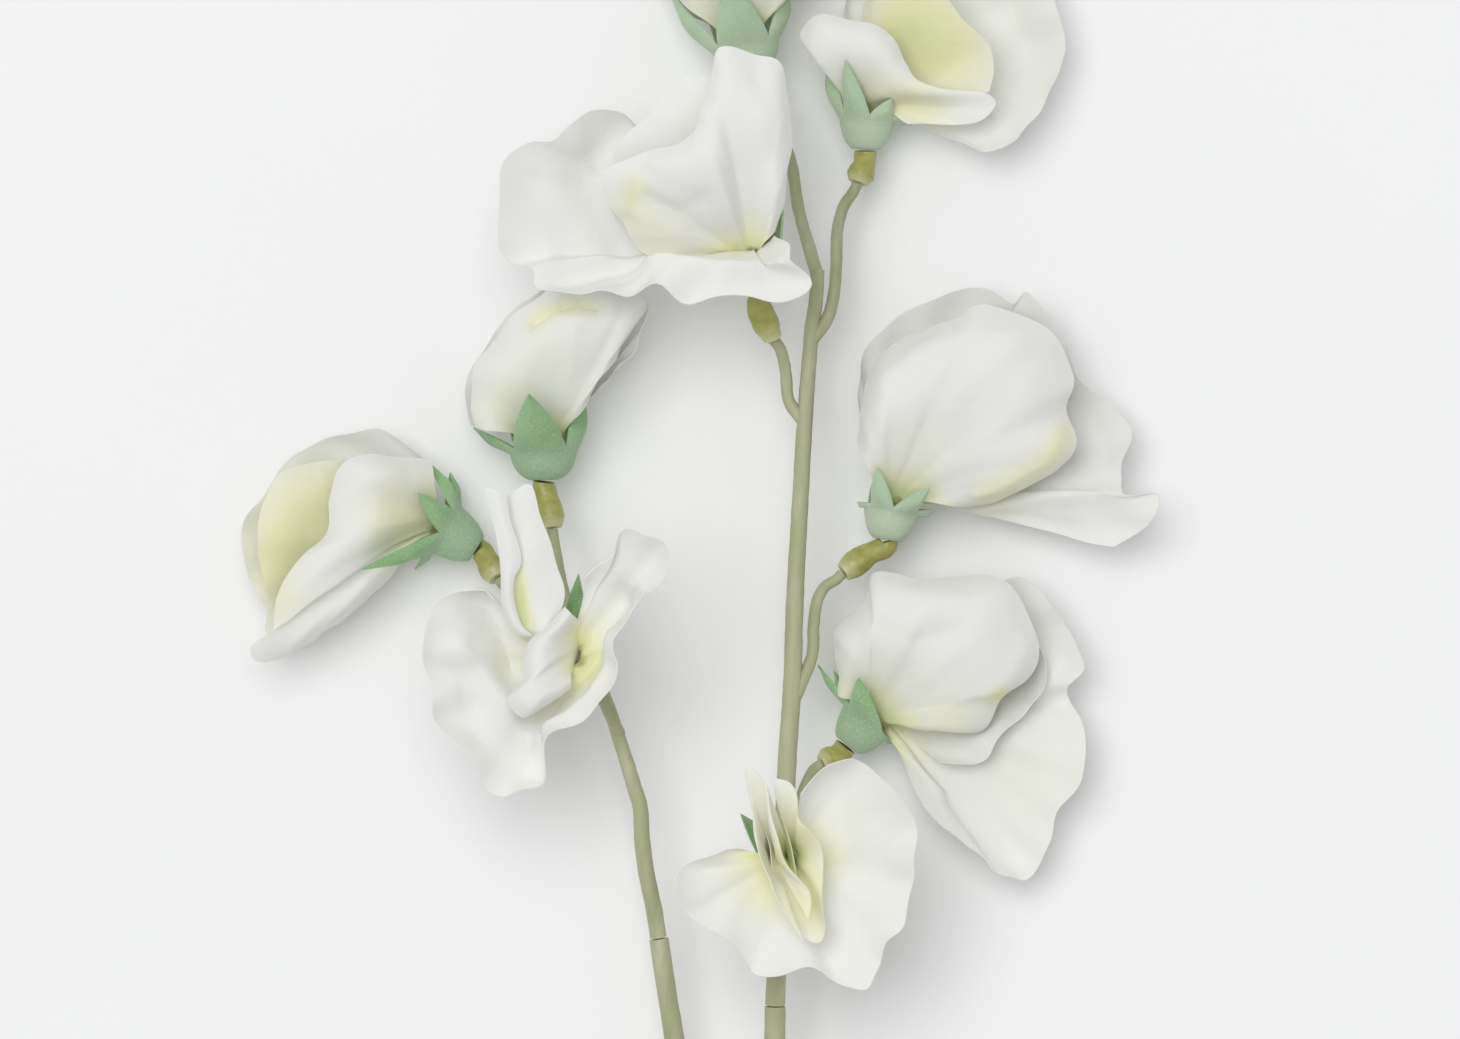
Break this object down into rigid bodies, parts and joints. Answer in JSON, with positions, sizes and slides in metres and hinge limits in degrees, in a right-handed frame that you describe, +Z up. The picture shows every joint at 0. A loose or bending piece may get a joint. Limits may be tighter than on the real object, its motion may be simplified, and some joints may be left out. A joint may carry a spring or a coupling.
{
  "type": "sweet pea spray",
  "caption": "Cut spray of white sweet pea blooms with waved petals and green calyxes on two thin branches of one forked stem, lying down.",
  "frame": {"origin": "middle of the spray's box, on the surface that it lies on", "axes": "+Y along the stem from its cut end to the top bloom, +Z up from the surface, +X to the right seen from above"},
  "size_m": [0.1531, 0.4201, 0.0493],
  "materials": {
    "petal": "soft matte white fabric, tinted yellow-green at the base",
    "keel": "soft matte pale green fabric",
    "calyx": "flocked bluish green",
    "collar": "olive yellow, slightly translucent",
    "stem": "flocked grey-green"
  },
  "bodies": {
    "root": {"bloom_1_standard": "petal", "bloom_1_wing_near": "petal", "bloom_1_wing_far": "petal", "bloom_1_keel": "keel", "bloom_1_calyx": "calyx", "bloom_1_collar": "collar", "bloom_2_standard": "petal", "bloom_2_wing_near": "petal", "bloom_2_wing_far": "petal", "bloom_2_keel": "keel", "bloom_2_calyx": "calyx", "bloom_2_collar": "collar", "bloom_3_standard": "petal", "bloom_3_wing_near": "petal", "bloom_3_wing_far": "petal", "bloom_3_keel": "keel", "bloom_3_calyx": "calyx", "bloom_3_collar": "collar", "bloom_4_standard": "petal", "bloom_4_wing_near": "petal", "bloom_4_wing_far": "petal", "bloom_4_keel": "keel", "bloom_4_calyx": "calyx", "bloom_4_collar": "collar", "bloom_5_standard": "petal", "bloom_5_wing_near": "petal", "bloom_5_wing_far": "petal", "bloom_5_keel": "keel", "bloom_5_calyx": "calyx", "bloom_5_collar": "collar", "bloom_6_standard": "petal", "bloom_6_wing_near": "petal", "bloom_6_wing_far": "petal", "bloom_6_keel": "keel", "bloom_6_calyx": "calyx", "bloom_6_collar": "collar", "bloom_7_standard": "petal", "bloom_7_wing_near": "petal", "bloom_7_wing_far": "petal", "bloom_7_keel": "keel", "bloom_7_calyx": "calyx", "bloom_7_collar": "collar", "bloom_8_standard": "petal", "bloom_8_wing_near": "petal", "bloom_8_wing_far": "petal", "bloom_8_keel": "keel", "bloom_8_calyx": "calyx", "bloom_8_collar": "collar", "bloom_9_standard": "petal", "bloom_9_wing_near": "petal", "bloom_9_wing_far": "petal", "bloom_9_keel": "keel", "bloom_9_calyx": "calyx", "bloom_9_collar": "collar", "left_branch": "stem", "main_branch": "stem", "lower_stem": "stem"}
  },
  "joints": []
}
